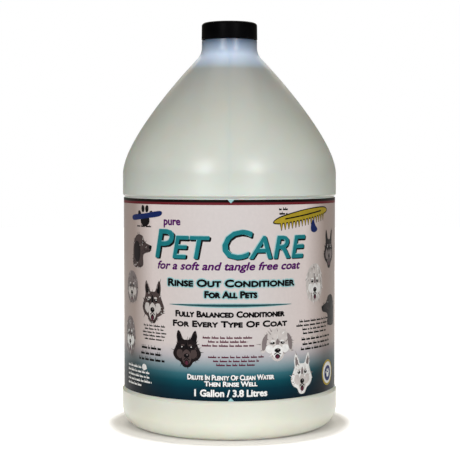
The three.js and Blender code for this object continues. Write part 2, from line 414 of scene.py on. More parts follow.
class Shader:
    """A material under construction: its node tree, its Principled shader and short helpers."""

    def __init__(self, name, **values):
        self.material = bpy.data.materials.new(name)
        self.material.use_nodes = True
        self.tree = self.material.node_tree
        self.surface = self.tree.nodes["Principled BSDF"]
        self.place = self.node("ShaderNodeTexCoord").outputs["Object"]
        for label, value in values.items():
            self.surface.inputs[label.replace("_", " ")].default_value = value

    def node(self, kind, **settings):
        node = self.tree.nodes.new(kind)
        for label, value in settings.items():
            setattr(node, label, value)
        return node

    def link(self, source, target):
        self.tree.links.new(source, target)

    def fill(self, sockets, values):
        for socket, value in zip(sockets, values):
            if isinstance(value, (int, float, tuple)):
                socket.default_value = value
            else:
                self.link(value, socket)

    def axis(self, index):
        split = self.node("ShaderNodeSeparateXYZ")
        self.link(self.place, split.inputs[0])
        return split.outputs[index]

    def math(self, operation, *values):
        node = self.node("ShaderNodeMath", operation=operation)
        self.fill(node.inputs, values)
        return node.outputs[0]

    def ramp(self, source, low, high, stops, interpolation="LINEAR"):
        """Colours along a value from low to high; a stop is (value, colour), and a colour is
        red, green and blue as on screen, or four linear values."""
        spread = self.node("ShaderNodeMapRange")
        self.link(source, spread.inputs["Value"])
        spread.inputs["From Min"].default_value = low
        spread.inputs["From Max"].default_value = high
        node = self.node("ShaderNodeValToRGB")
        self.link(spread.outputs[0], node.inputs[0])
        band = node.color_ramp
        band.interpolation = interpolation
        while len(band.elements) < len(stops):
            band.elements.new(0.5)
        for element, (value, colour) in zip(band.elements, stops):
            element.position = (value - low) / (high - low)
            element.color = colour if len(colour) == 4 else linear(*colour)
        return node.outputs["Color"]

    def noise(self, scale, detail=4, stretch=(1, 1, 1)):
        mapping = self.node("ShaderNodeMapping")
        self.link(self.place, mapping.inputs[0])
        mapping.inputs["Scale"].default_value = stretch
        noise = self.node("ShaderNodeTexNoise")
        self.link(mapping.outputs[0], noise.inputs["Vector"])
        noise.inputs["Scale"].default_value = scale
        noise.inputs["Detail"].default_value = detail
        return noise.outputs[0]

    def mottled(self, scale, detail, first, second, low=0.3, high=0.7):
        """Two colours clouded together."""
        return self.ramp(self.noise(scale, detail), low, high, [(low, first), (high, second)])

    def mix(self, factor, first, second, blend="MIX"):
        node = self.node("ShaderNodeMix", data_type="RGBA", blend_type=blend)
        self.fill((node.inputs[0], node.inputs[6], node.inputs[7]), (factor, first, second))
        return node.outputs[2]

    def colour(self, source):
        self.link(source, self.surface.inputs["Base Color"])

    def roughness(self, scale, detail, low, high):
        uneven = self.math("MULTIPLY_ADD", self.noise(scale, detail), high - low, low)
        self.link(uneven, self.surface.inputs["Roughness"])

    def bump(self, *layers):
        """Each layer is (height in metres, what its noise is made with)."""
        before = None
        for distance, *noise in layers:
            node = self.node("ShaderNodeBump")
            node.inputs["Strength"].default_value = 1
            node.inputs["Distance"].default_value = distance
            self.link(self.noise(*noise), node.inputs["Height"])
            if before:
                self.link(before, node.inputs["Normal"])
            before = node.outputs[0]
        self.link(before, self.surface.inputs["Normal"])


def hdpe_material():
    """Natural polyethylene: milky, cool and see-through over the headspace, cream where filled;
    painted shade darkens the shoulder and the collar under the cap.
    """
    shader = Shader("natural_hdpe", Alpha=0.84, Subsurface_Weight=0.25, IOR=1.5,
                    Subsurface_Scale=0.004, Coat_Weight=0.12, Coat_Roughness=0.22)
    height = shader.axis(2)
    # Tone by height: warm white at the foot, darker from the upper bumper up the shoulder to the
    # fill line (painted shade), cool blue over the headspace, then darkening up the collar to a
    # dark slate just under the cap (painted shade under the cap); the neck above, hidden by the
    # cap, is light again.
    stops = [(0.0, (246, 242, 230)), (0.030, (240, 238, 230)),
             (0.165, (236, 239, 236)), (0.200, (206, 210, 206)),
             (0.222, (187, 191, 187)), (0.242, (168, 171, 169)),
             (FILL_LEVEL - 2 * MM, (155, 160, 160)),
             (FILL_LEVEL + 2 * MM, (174, 190, 212)),
             (COLLAR_BOTTOM - 6 * MM, (206, 222, 248)),
             (COLLAR_BOTTOM + 2 * MM, (132, 152, 180)),
             (COLLAR_TOP - 0.6 * MM, (84, 102, 128)),
             (COLLAR_TOP + 1 * MM, (110, 126, 150)),
             (COLLAR_TOP + 3 * MM, (196, 208, 224))]
    body = shader.ramp(height, 0, NECK_TOP, stops)
    cloud = shader.mottled(22, 3, (0.94, 0.94, 0.92, 1), WHITE)
    shader.colour(shader.mix(1.0, body, cloud, "MULTIPLY"))
    shader.roughness(40, 4, 0.27, 0.40)
    shader.bump((0.12 * MM, 55, 3, (1, 1, 0.5)), (0.012 * MM, 900, 2))
    return shader.material


def liquid_material():
    shader = Shader("liquid", Roughness=0.25, Subsurface_Weight=0.6, Subsurface_Scale=0.006)
    shader.colour(shader.mottled(14, 3, (226, 224, 208), (238, 236, 224)))
    return shader.material


def cap_material():
    shader = Shader("cap_black", Specular_IOR_Level=0.02)
    shader.colour(shader.mottled(60, 4, (1, 1, 2), (5, 5, 6)))
    shader.roughness(120, 5, 0.30, 0.48)
    shader.bump((0.015 * MM, 260, 3), (0.006 * MM, 1500, 2))
    return shader.material


def liner_material():
    shader = Shader("liner_foam")
    shader.colour(shader.mottled(300, 4, (228, 226, 218), (246, 245, 240)))
    shader.roughness(200, 3, 0.6, 0.85)
    shader.bump((0.05 * MM, 1600, 3))
    return shader.material


def label_material():
    """Printed film: pale lilac paper tone, darker and dusty rose towards the left and right sides
    (print tint and painted shade), a teal to navy fade at the foot that turns near black towards
    those sides (print and painted shade), two dark top rules.
    """
    shader = Shader("label_print", Specular_IOR_Level=0.05)
    height, side, depth = shader.axis(2), shader.axis(0), shader.axis(1)
    across = shader.math("DIVIDE", shader.math("ABSOLUTE", side), LABEL_RADIUS)
    # Paper tone round the jug: darker and dusty rose on the left and right sides, partly a print
    # tint and partly painted shade; the back half is plain.
    paper_tint_and_painted_shade = shader.ramp(shader.math("DIVIDE", depth, LABEL_RADIUS), -1, 1, [
        (-1, (212, 206, 208)), (-0.89, (217, 209, 210)),
        (-0.73, (230, 219, 220)), (-0.5, (184, 168, 164)),
        (-0.25, (184, 170, 168)), (0.05, (222, 216, 217)),
        (1, (222, 217, 218))])
    foot = LABEL_BOTTOM
    fade = shader.ramp(height, foot, foot + 38 * MM, [
        (foot, (2, 34, 50)), (foot + 8 * MM, (4, 62, 80)),
        (foot + 13 * MM, (16, 92, 108)), (foot + 18 * MM, (66, 134, 150)),
        (foot + 23 * MM, (158, 194, 206)), (foot + 30 * MM, (228, 234, 242)),
        (foot + 38 * MM, WHITE)])
    print_and_painted_shade = shader.mix(1.0, paper_tint_and_painted_shade, fade, "MULTIPLY")
    # Near the foot, towards the left and right sides, the print darkens to near black: partly the
    # print's navy, partly painted shade.
    low = shader.ramp(height, foot, foot + 34 * MM,
                      [(foot, WHITE), (foot + 14 * MM, (0.9, 0.9, 0.9, 1)),
                       (foot + 34 * MM, BLACK)])
    edge = shader.ramp(across, 0, 1, [(0.45, BLACK), (0.95, (0.96, 0.96, 0.96, 1))])
    print_and_painted_shade = shader.mix(shader.math("MULTIPLY", low, edge), print_and_painted_shade, linear(6, 10, 20))
    rules = shader.ramp(height, LABEL_TOP - 4 * MM, LABEL_TOP, [
        (LABEL_TOP - 4 * MM, WHITE), (LABEL_TOP - 3.6 * MM, (104, 34, 42)),
        (LABEL_TOP - 1.9 * MM, (12, 4, 4))], "CONSTANT")
    top = shader.math("GREATER_THAN", height, LABEL_TOP - 3.6 * MM)
    print_and_painted_shade = shader.mix(top, print_and_painted_shade, rules)
    grain = shader.mottled(500, 4, (0.96, 0.96, 0.96, 1), WHITE)
    shader.colour(shader.mix(1.0, print_and_painted_shade, grain, "MULTIPLY"))
    shader.roughness(150, 4, 0.34, 0.5)
    shader.bump((0.05 * MM, 35, 2, (1, 1, 0.4)), (0.006 * MM, 1400, 2))
    return shader.material


def ink_material(name, colour):
    """Printing ink with the film's sheen, a little uneven in tone."""
    shader = Shader("ink_" + name, Specular_IOR_Level=0.05)
    dark = tuple(0.86 * channel for channel in colour[:3]) + (1,)
    shader.colour(shader.mottled(350, 4, dark, colour, 0.35, 0.65))
    shader.roughness(180, 3, 0.34, 0.5)
    return shader.material


# ==== The jug, its liquid, cap and liner ====

def panel_outline(inset):
    """The base, lower bumper and label panel, inset by a wall or more, closed on the axis."""
    foot = arc((FOOT_RADIUS, FOOT_FILLET), (LOWER_BUMPER_RADIUS - FOOT_RADIUS, FOOT_FILLET),
               -90, 0, 24)
    bumper_top = PANEL_BOTTOM - BUMPER_RAMP
    body_radius = BODY_RADIUS - 0.01 * MM
    inner = FOOT_RADIUS - FOOT_WIDTH
    points = [(inner - 2 * PUSH_UP, PUSH_UP), (inner - 6 * MM, PUSH_UP - 0.4 * MM)]
    points += arc((inner + 1 * MM, 3 * MM), (4 * MM, 3 * MM), -150, -100, 6)
    points += [(inner + 1 * MM, 0)] + foot
    points += [(LOWER_BUMPER_RADIUS, bumper_top), (PANEL_RADIUS, PANEL_BOTTOM),
               (PANEL_RADIUS, PANEL_TOP), (body_radius, BUMPER_BOTTOM),
               (body_radius, BUMPER_BOTTOM + 3 * MM)]
    moved = inward(points, inset)
    return [(0, moved[0][1])] + moved + [(0, moved[-1][1])]


def inward(points, distance):
    """An outline moved towards the jug's inside, its corners mitred."""
    points = np.array(points)
    along = np.diff(points, axis=0)
    along /= np.linalg.norm(along, axis=1)[:, None]
    normals = np.stack([-along[:, 1], along[:, 0]], 1)
    normals = np.vstack([normals[:1], normals, normals[-1:]])
    shift = (normals[:-1] + normals[1:])
    shift /= (1 + (normals[:-1] * normals[1:]).sum(1))[:, None]
    return [tuple(point) for point in points + shift * distance]


def net_object(name, field, bottom, top):
    """A net of the shoulder cut flat at the two heights."""
    reach = BODY_RADIUS + 2 * NET_PITCH
    low = np.array([-reach, -reach, bottom - 4 * MM])
    high = np.array([reach, reach, top + 4 * MM])
    points, quads = surface_net(field, low, high, NET_PITCH)
    net = mesh_object(name, points, quads)
    return boolean(net, disc("cut", 2 * BODY_RADIUS, bottom, top, 8), "INTERSECT")


def neck_finish():
    """The threaded neck above the collar, with a rounded lip."""
    lip = arc((NECK_RADIUS - 0.8 * MM, NECK_TOP - 0.8 * MM), (0.8 * MM, 0.8 * MM), 0, 90, 5)
    outline = [(0, COLLAR_TOP - 0.1 * MM), (NECK_RADIUS, COLLAR_TOP - 0.1 * MM)]
    neck = lathe("neck", outline + lip + [(0, NECK_TOP)], 128)
    run = NECK_TOP - COLLAR_TOP - THREAD_DROP - THREAD_ROOT / 2 - THREAD_FOOT
    thread = helix("thread", NECK_RADIUS, NECK_RADIUS + THREAD_DEPTH, THREAD_ROOT, THREAD_CREST,
                   run, NECK_TOP - THREAD_DROP)
    return boolean(neck, thread, "UNION")


def parting_line(material):
    """Fine ridges where the two halves of the mould met, front and back."""
    heights = np.linspace(BUMPER_BOTTOM + 1 * MM, COLLAR_TOP - 0.5 * MM, 140)
    radii = np.interp(heights, OUTLINE[:, 1], OUTLINE[:, 0])
    low = np.array([FOOT_FILLET, PANEL_BOTTOM - BUMPER_RAMP])
    vertices, faces = [], []
    for side in (-1, 1):
        upper = onto_surface(np.stack([0 * radii, side * radii, heights], 1), shoulder_field,
                             NET_PITCH)
        lower = np.stack([0 * low, side * (LOWER_BUMPER_RADIUS + 0 * low), low], 1)
        for path in (upper, lower):
            along = np.gradient(path, axis=0)
            along /= np.linalg.norm(along, axis=1)[:, None]
            out = side * np.stack([0 * along[:, 0], along[:, 2], -along[:, 1]], 1)
            first = len(vertices)
            for place, lift in zip(path, out):
                for x, rise in ((-0.5, -0.1), (0.5, -0.1), (0.45, 0), (0, 0.05), (-0.45, 0)):
                    vertices.append(place + lift * rise * MM + np.array([side * x * MM, 0, 0]))
            faces += [face[:1] + face[:0:-1] for face in skin(first, len(vertices) - 5, 5)]
    ridges = mesh_object("parting_line", vertices, faces)
    return finished(ridges, material, "jug", "natural_hdpe")


def jug_shell(material):
    outside = net_object("jug_shell", shoulder_field, BUMPER_BOTTOM, COLLAR_TOP)
    boolean(outside, lathe("panel", panel_outline(0)), "UNION")
    boolean(outside, neck_finish(), "UNION")
    hollow = net_object("hollow", hollow_field, BUMPER_BOTTOM, COLLAR_TOP)
    boolean(hollow, lathe("panel_hollow", panel_outline(WALL)), "UNION")
    bore = disc("bore", BORE_RADIUS, COLLAR_TOP - 0.1 * MM, NECK_TOP + 5 * MM, 128)
    boolean(hollow, bore, "UNION")
    boolean(outside, hollow, "DIFFERENCE")
    return finished(outside, material, "jug", "natural_hdpe", "jug_body")


def liquid_body(material):
    def field(x, y, z):
        return shoulder_field(x, y, z) + WALL + GAP

    liquid = net_object("conditioner", field, BUMPER_BOTTOM, FILL_LEVEL)
    boolean(liquid, lathe("panel_liquid", panel_outline(WALL + GAP)), "UNION")
    return finished(liquid, material, "jug", "liquid", "liquid_fill")


def finished(obj, material, body, slot, *nodes):
    """Gives a made piece its material, its smooth shading and its place in the frame."""
    obj.data.materials.clear()
    obj.data.materials.append(material)
    obj.data.shade_smooth()
    obj.data.set_sharp_from_angle(angle=SHARP_ANGLE)
    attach(obj, body)
    if nodes:
        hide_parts(*nodes)
    return obj


def screw_cap(material):
    ceiling = LINER_HIGH[2] + GAP
    inner = CAP_RADIUS - CAP_SKIRT
    draft = 0.15 * MM
    wide, tall = CAP_EDGE
    edge = arc((CAP_RADIUS - draft - wide, CAP_CROWN - CAP_DOME - tall), (wide, tall), 0, 80, 12)
    foot = arc((CAP_RADIUS - 0.3 * MM, CAP_BOTTOM + 0.3 * MM), (0.3 * MM, 0.3 * MM), -90, 0, 4)
    crown = [(CAP_RADIUS * 0.7, CAP_CROWN - 0.45 * CAP_DOME),
             (CAP_RADIUS * 0.4, CAP_CROWN - 0.12 * CAP_DOME)]
    outside = [(0, CAP_BOTTOM)] + foot + edge + crown + [(0, CAP_CROWN)]
    cap = lathe("cap_shell", outside, 160)
    room = [(0, CAP_BOTTOM - 1 * MM), (inner + 0.3 * MM, CAP_BOTTOM - 1 * MM),
            (inner + 0.3 * MM, CAP_BOTTOM), (inner, CAP_BOTTOM + 0.4 * MM), (inner, ceiling),
            (0, ceiling)]
    boolean(cap, lathe("room", room, 128), "DIFFERENCE")
    top = NECK_TOP - THREAD_DROP - THREAD_PITCH / 2
    run = top - CAP_BOTTOM - CAP_THREAD_ROOT / 2 - CAP_THREAD_FOOT
    thread = helix("cap_thread", inner, NECK_RADIUS + GAP, CAP_THREAD_ROOT, CAP_THREAD_CREST,
                   run, top)
    boolean(cap, thread, "UNION")
    return finished(cap, material, "cap", "cap_plastic", "screw_cap")


def liner(material):
    low, high, radius = LINER_LOW[2], LINER_HIGH[2], LINER_HIGH[0]
    edge = arc((radius - 0.25 * MM, low + 0.25 * MM), (0.25 * MM, 0.25 * MM), -90, 0, 4)
    edge += arc((radius - 0.25 * MM, high - 0.25 * MM), (0.25 * MM, 0.25 * MM), 0, 90, 4)
    press = [(0, low), (BORE_RADIUS, low), (BORE_RADIUS + 0.4 * MM, low + 0.12 * MM),
             (NECK_RADIUS, low + 0.12 * MM), (NECK_RADIUS + 0.2 * MM, low)]
    foam = lathe("foam_disc", press + edge + [(0, high)], 128)
    return finished(foam, material, "liner", "liner_foam", "cap_liner")


# ==== The label ====

def wrap_label(material):
    """A band with a narrow open seam at the back, square ends and softened edges."""
    inner, outer = LABEL_RADIUS - LABEL_FILM, LABEL_RADIUS
    half_gap = LABEL_SEAM / 2 / outer
    steps, soft = 360, 0.05 * MM
    section = [(inner, LABEL_BOTTOM), (outer - soft, LABEL_BOTTOM), (outer, LABEL_BOTTOM + soft),
               (outer, LABEL_TOP - soft), (outer - soft, LABEL_TOP), (inner, LABEL_TOP)]
    vertices = []
    for i in range(steps + 1):
        angle = math.pi / 2 + half_gap + (2 * math.pi - 2 * half_gap) * i / steps
        vertices += [(r * math.cos(angle), r * math.sin(angle), z) for r, z in section]
    n = len(section)
    band = mesh_object("label_band", vertices, skin(0, n * steps, n))
    return finished(band, material, "jug", "label_film", "wrap_label")


# ==== The label's print: generic words, bars for small type, and heads of no particular dog ====

class Print:
    """Flat shapes on the unrolled label in mm, u rightwards from the front's middle and v up
    from the label's foot, gathered by ink and wrapped round the jug."""

    def __init__(self):
        self.inks = {}

    def shape(self, ink, polygon, lift=1):
        self.inks.setdefault(ink, []).append((polygon, lift))

    def bar(self, ink, u, v, width, height, lift=1, lean=0):
        self.shape(ink, [(u, v), (u + width, v), (u + width + lean, v + height),
                         (u + lean, v + height)], lift)

    def oval(self, ink, centre, radii, lift=1, turn=0):
        c, s = math.cos(turn), math.sin(turn)
        ring = [(radii[0] * math.cos(a), radii[1] * math.sin(a))
                for a in np.linspace(0, 2 * math.pi, 25)[:-1]]
        self.shape(ink, [(centre[0] + x * c - y * s, centre[1] + x * s + y * c)
                         for x, y in ring], lift)

    def words(self, ink, text, box, lift=1, bold=0, lean=0, capitals=False, shift=(0, 0)):
        """Words stretched to fill a box (u, v, u, v), thickened by bold on every side."""
        curve = bpy.data.curves.new("words", "FONT")
        curve.body = text
        curve.size = 10
        curve.shear = lean
        curve.resolution_u = 3
        curve.small_caps_scale = 0.78
        for letter in curve.body_format:
            letter.use_small_caps = capitals
        obj = placed("words", curve)
        bpy.context.view_layer.update()
        graph = bpy.context.evaluated_depsgraph_get()
        mesh = bpy.data.meshes.new_from_object(obj.evaluated_get(graph))
        plain = np.array([tuple(v.co) for v in mesh.vertices])[:, :2]
        low, high = plain.min(0), plain.max(0)
        size = np.array([box[2] - box[0], box[3] - box[1]]) - 2 * bold
        plain = (plain - low) * size / (high - low) + np.array(box[:2]) + bold + np.array(shift)
        spots = [(1, 0), (0, 1), (-1, 0), (0, -1), (0.7, 0.7), (-0.7, 0.7), (-0.7, -0.7),
                 (0.7, -0.7)]
        for i, spot in enumerate(spots if bold else [(0, 0)]):
            moved = plain + np.array(spot) * bold
            for face in mesh.polygons:
                self.shape(ink, [tuple(moved[k]) for k in face.vertices], lift + 0.02 * i)
        bpy.data.objects.remove(obj, do_unlink=True)
        bpy.data.meshes.remove(mesh)

    def small_type(self, ink, box, rows, seed, centred=True):
        """Rows of word-long bars standing in for small type, in a box (u, v, u, v)."""
        chance = random.Random(seed)
        pitch = (box[3] - box[1]) / rows
        for row in range(rows):
            v = box[3] - (row + 0.75) * pitch
            length = (box[2] - box[0]) * chance.uniform(0.62, 1)
            start = (box[0] + box[2] - length) / 2 if centred else box[0]
            u = start
            while u < start + length:
                word = min(chance.uniform(1.6, 6.5), start + length - u)
                self.bar(ink, u, v, word, 0.36 * pitch)
                for stem in range(int(word / 1.7)):
                    high = chance.choice((0.2, -0.18)) * pitch
                    self.bar(ink, u + 0.2 + 1.7 * stem, v + max(0, high), 0.45,
                             0.36 * pitch + abs(high) * 0.6)
                u += word + 0.9

    def make(self):
        for ink, shapes in self.inks.items():
            mesh = bmesh.new()
            lifts = mesh.verts.layers.float.new("lift")
            for polygon, lift in shapes:
                corners = [mesh.verts.new((u, v, 0)) for u, v in polygon]
                for corner in corners:
                    corner[lifts] = lift
                mesh.faces.new(corners)
            bmesh.ops.triangulate(mesh, faces=mesh.faces)
            for _ in range(5):
                long = [e for e in mesh.edges if abs(e.verts[0].co.x - e.verts[1].co.x) > INK_SPAN]
                if not long:
                    break
                bmesh.ops.subdivide_edges(mesh, edges=long, cuts=1)
                bmesh.ops.triangulate(mesh, faces=mesh.faces)
            vertices = []
            for vertex in mesh.verts:
                angle = vertex.co.x * MM / LABEL_RADIUS
                radius = LABEL_RADIUS + INK_GAP + INK_LAYER * vertex[lifts]
                vertices.append((radius * math.sin(angle), -radius * math.cos(angle),
                                 LABEL_BOTTOM + vertex.co.y * MM))
            mesh.verts.index_update()
            faces = [[v.index for v in face.verts] if face.normal.z > 0
                     else [v.index for v in reversed(face.verts)] for face in mesh.faces]
            mesh.free()
            obj = mesh_object("print_" + ink, vertices, faces)
            finished(obj, ink_material(ink, linear(*INKS[ink])), "jug", "label_film")


INK_GAP, INK_LAYER = 0.02 * MM, 0.03 * MM  # ink above the film, and each layer above the last
INK_SPAN = 3  # mm that a flat face of ink may run round the label
INKS = {
    "teal": (30, 124, 134), "teal_dark": (8, 62, 72), "teal_pale": (158, 206, 212),
    "slate": (78, 112, 116), "purple": (84, 18, 100), "black": (8, 6, 9),
    "white": (246, 246, 248), "maroon": (92, 44, 62), "yellow": (178, 156, 46),
    "blue": (24, 42, 100), "fur_dark": (26, 20, 22), "fur_brown": (78, 66, 66),
    "fur_grey": (136, 126, 128), "fur_pale": (214, 208, 208),
}


def curve_through(points, steps=5):
    """A smooth closed line through points."""
    line, n = [], len(points)
    for i in range(n):
        p = [np.array(points[(i + k) % n]) for k in (-1, 0, 1, 2)]
        for j in range(steps):
            t = j / steps
            line.append(tuple(0.5 * (2 * p[1] + (p[2] - p[0]) * t
                                     + (2 * p[0] - 5 * p[1] + 4 * p[2] - p[3]) * t * t
                                     + (3 * p[1] - p[0] - 3 * p[2] + p[3]) * t ** 3)))
    return line


def mirrored(half):
    """A whole outline from its right half, listed from top middle to bottom middle."""
    return half + [(-x, y) for x, y in reversed(half) if x > 1e-6]


# Outlines in a square from -1 to 1.
PRICK_EARS = mirrored([(0, 0.5), (0.24, 0.54), (0.44, 0.88), (0.62, 1), (0.72, 0.7), (0.68, 0.36),
                       (0.82, 0.08), (0.98, -0.26), (0.78, -0.56), (0.46, -0.7), (0.26, -0.94),
                       (0, -1)])
HANGING_EARS = mirrored([(0, 0.92), (0.32, 0.88), (0.56, 0.72), (0.82, 0.44), (1, -0.02),
                         (0.92, -0.46), (0.72, -0.4), (0.58, -0.14), (0.46, -0.5),
                         (0.28, -0.88), (0, -1)])
LONG_HAIR = mirrored([(0, 0.96), (0.42, 0.88), (0.8, 0.5), (0.94, 0), (0.86, -0.5), (0.56, -0.86),
                      (0, -1)])
PROFILE = [(-0.16, 0.94), (0.22, 0.86), (0.38, 0.58), (0.56, 0.44), (0.9, 0.32), (1, 0.14),
           (0.88, -0.06), (0.5, -0.16), (0.28, -0.34), (0.22, -0.96), (-0.74, -1), (-0.82, -0.3),
           (-0.74, 0.4), (-0.5, 0.8)]
PROFILE_EAR = [(-0.5, 0.5), (-0.16, 0.46), (0, 0.04), (-0.06, -0.52), (-0.32, -0.74),
               (-0.6, -0.5), (-0.68, 0)]


def within(polygon, x, y):
    inside = False
    for (x0, y0), (x1, y1) in zip(polygon, polygon[1:] + polygon[:1]):
        if (y0 > y) != (y1 > y) and x < x0 + (y - y0) * (x1 - x0) / (y1 - y0):
            inside = not inside
    return inside


def dog_head(sheet, outline, box, fur, shade, light, seed, flip=1):
    """A dog's head in a box (u, v, u, v): a furry silhouette, brow, muzzle, eyes and nose."""
    chance = random.Random(seed)
    middle = ((box[0] + box[2]) / 2, (box[1] + box[3]) / 2)
    half = ((box[2] - box[0]) / 2, (box[3] - box[1]) / 2)

    def place(points):
        return [(middle[0] + flip * x * half[0], middle[1] + y * half[1]) for x, y in points]

    def patch(ink, points, lift):
        sheet.shape(ink, place(curve_through(points)), lift)

    def spot(ink, x, y, rx, ry, lift):
        sheet.oval(ink, place([(x, y)])[0], (rx * half[0], ry * half[1]), lift)

    def pair(ink, points):
        for side in (-1, 1):
            patch(ink, [(x * side, y) for x, y in points], 3)

    silhouette = curve_through(outline)
    patch(fur, outline, 1)
    for _ in range(170 if outline is LONG_HAIR else 110):
        x, y = chance.uniform(-1, 1), chance.uniform(-1, 1)
        if not within(silhouette, x, y):
            continue
        angle = math.atan2(y + 0.25, x) + chance.uniform(-0.4, 0.4)
        if outline is LONG_HAIR:
            angle = -math.pi / 2 + 0.6 * x + chance.uniform(-0.3, 0.3)
        length, width = chance.uniform(0.12, 0.3), chance.uniform(0.018, 0.035)
        dx, dy = math.cos(angle), math.sin(angle)
        ink = chance.choice((fur, shade, shade, light))
        sheet.shape(ink, place([(x - dy * width, y + dx * width), (x + dy * width, y - dx * width),
                                (x + dx * length, y + dy * length)]), 2)
    if outline is PROFILE:
        patch(shade, PROFILE_EAR, 3)
        spot("black", 0.9, 0.22, 0.13, 0.11, 4)
        spot("black", 0.24, 0.46, 0.08, 0.07, 4)
        spot("white", 0.26, 0.48, 0.025, 0.025, 5)
        sheet.shape("black", place([(0.9, 0.04), (0.5, -0.02), (0.34, 0.06), (0.5, -0.06)]), 4)
        return
    if outline is PRICK_EARS:
        pair(shade, [(0.36, 0.52), (0.58, 0.86), (0.6, 0.44)])
    if outline is HANGING_EARS:
        pair(shade, [(0.6, 0.62), (0.88, 0.3), (0.9, -0.3), (0.7, -0.2)])
    pair(light, [(0.3, -0.1), (0.62, -0.06), (0.7, -0.34), (0.4, -0.52)])
    for ink, right, lift in (
            (light, [(0, -0.02), (0.28, -0.22), (0.34, -0.5), (0.16, -0.8)], 3.4),
            ("fur_dark", [(0, -0.56), (0.14, -0.66), (0.12, -0.8)], 4),
            ("maroon", [(0, -0.64), (0.09, -0.7), (0.07, -0.84)], 4.6),
            (shade, [(0, 0.34), (0.1, 0.1), (0, -0.2)], 3)):
        patch(ink, mirrored(right), lift)
    for side in (-1, 1):
        spot(light, 0.27 * side, 0.2, 0.13, 0.05, 3)
        spot("black", 0.3 * side, 0.08, 0.13, 0.08, 4)
        spot("white", 0.33 * side, 0.11, 0.04, 0.03, 5)
        sheet.shape("black", place([(0, -0.5), (0.2 * side, -0.62), (0.22 * side, -0.56),
                                    (0.02 * side, -0.46)]), 4)
    spot("black", 0, -0.36, 0.19, 0.12, 4)
    spot("fur_grey", 0.04, -0.32, 0.06, 0.03, 5)


def paw(sheet, ink, centre, size, lift):
    u, v = centre
    sheet.oval(ink, (u, v - 0.15 * size), (0.34 * size, 0.28 * size), lift)
    for du, dv, turn in ((-0.42, 0.14, 0.5), (-0.15, 0.38, 0.15), (0.15, 0.38, -0.15),
                         (0.42, 0.14, -0.5)):
        sheet.oval(ink, (u + du * size, v + dv * size), (0.12 * size, 0.17 * size), lift, turn)


def comb(sheet, u, v, width, height):
    """A yellow comb with a black edge, leaning up to the right."""
    lean = 0.14

    def tilted(points):
        return [(u + x, v + y + lean * x) for x, y in points]

    for ink, grow, lift in (("black", 0.7, 1), ("yellow", 0, 2)):
        back = height * 0.45
        sheet.shape(ink, tilted(curve_through([
            (-grow, back - grow), (width + grow, back - grow), (width + grow, height * 0.8 + grow),
            (width * 0.5, height + grow), (-grow, height * 0.8 + grow)], steps=6)), lift)
        for i in range(15):
            x = width * (i + 0.25) / 15
            sheet.shape(ink, tilted([(x - grow, back), (x + 0.5 - 0.1 * grow, -grow),
                                     (x + 0.9 + 0.1 * grow, -grow), (x + 1.4 + grow, back)]), lift)
    sheet.shape("black", tilted([(width * 0.1, height * 0.62), (width * 0.9, height * 0.62),
                                 (width * 0.9, height * 0.72), (width * 0.1, height * 0.72)]), 3)


